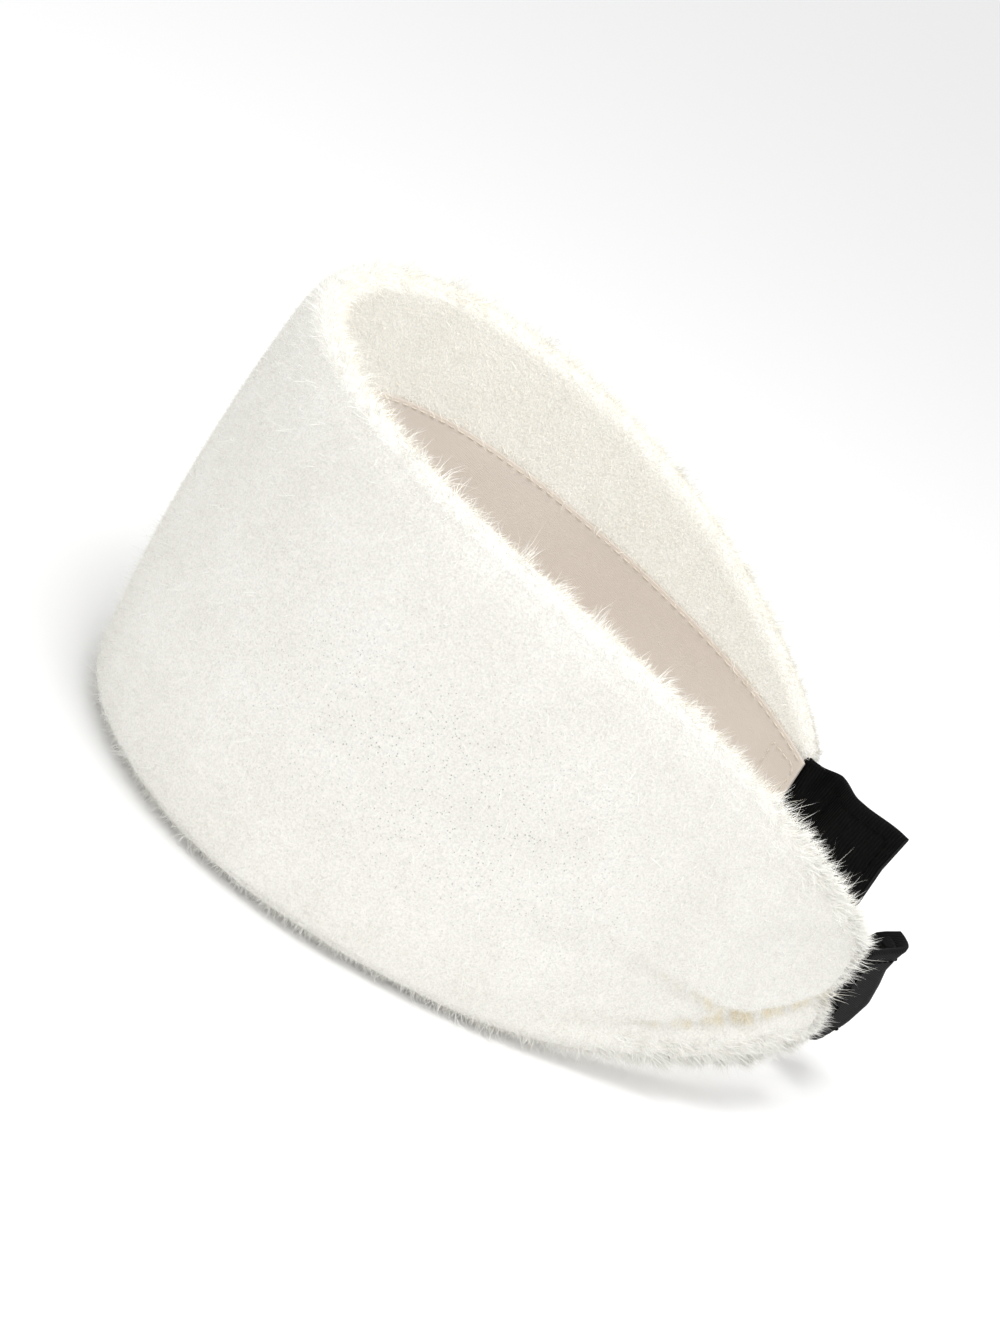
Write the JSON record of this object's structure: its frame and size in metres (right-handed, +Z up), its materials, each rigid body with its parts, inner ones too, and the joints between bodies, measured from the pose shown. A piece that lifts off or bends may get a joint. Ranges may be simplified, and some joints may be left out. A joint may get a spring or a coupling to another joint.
{
  "type": "spa headband",
  "caption": "Wide padded plush headband, open at the back, with a soft inner lining and black hook-and-loop fastening tabs.",
  "frame": {"origin": "under the middle of the headband's box, on the plane of its lower edge", "axes": "+Z up from the lower edge, -Y towards the forehead, +Y towards the open back, +X towards the wearer's left"},
  "size_m": [0.1476, 0.1876, 0.102],
  "materials": {
    "plush": "short ivory plush pile on a knitted backing",
    "foam": "soft open-cell foam",
    "stay": "thin sprung plastic strip",
    "satin": "smooth beige satin weave with a soft sheen",
    "cream_thread": "cream sewing thread",
    "webbing": "black woven strap",
    "hook_tape": "black hook tape",
    "loop_tape": "black loop tape with a short brushed pile",
    "black_thread": "black sewing thread"
  },
  "bodies": {
    "crown": {"crown_cover": "plush", "crown_foam": "foam", "crown_stay": "stay", "crown_lining": "satin", "crown_upper_thread": "cream_thread", "crown_lower_thread": "cream_thread"},
    "left_wing": {"left_cover": "plush", "left_foam": "foam", "left_stay": "stay", "left_lining": "satin", "left_upper_thread": "cream_thread", "left_lower_thread": "cream_thread", "left_strap_anchor": "webbing", "left_box_stitch": "cream_thread"},
    "right_wing": {"right_cover": "plush", "right_foam": "foam", "right_stay": "stay", "right_lining": "satin", "right_upper_thread": "cream_thread", "right_lower_thread": "cream_thread", "right_strap_anchor": "webbing", "right_box_stitch": "cream_thread"},
    "left_tab": {"left_tab_strap": "webbing", "left_tab_hook_patch": "hook_tape", "left_tab_patch_stitch": "black_thread"},
    "right_tab": {"right_tab_strap": "webbing", "right_tab_loop_patch": "loop_tape", "right_tab_patch_stitch": "black_thread"}
  },
  "joints": [
    {"name": "left_wing_flex", "type": "hinge", "parent": "crown", "child": "left_wing", "pos_m": [0.06635, -0.02913, 0.05], "axis": [0, 0, -1], "range_deg": [-4, 20], "stiffness_Nm_per_rad": 0.5},
    {"name": "right_wing_flex", "type": "hinge", "parent": "crown", "child": "right_wing", "pos_m": [-0.06635, -0.02913, 0.05], "axis": [0, 0, 1], "range_deg": [-4, 20], "stiffness_Nm_per_rad": 0.5},
    {"name": "left_tab_flex", "type": "hinge", "parent": "left_wing", "child": "left_tab", "pos_m": [0.03763, 0.07365, 0.03], "axis": [0, 0, -1], "range_deg": [-20, 60], "stiffness_Nm_per_rad": 0.01},
    {"name": "right_tab_flex", "type": "hinge", "parent": "right_wing", "child": "right_tab", "pos_m": [-0.03763, 0.07365, 0.03], "axis": [0, 0, 1], "range_deg": [-20, 60], "stiffness_Nm_per_rad": 0.01}
  ]
}
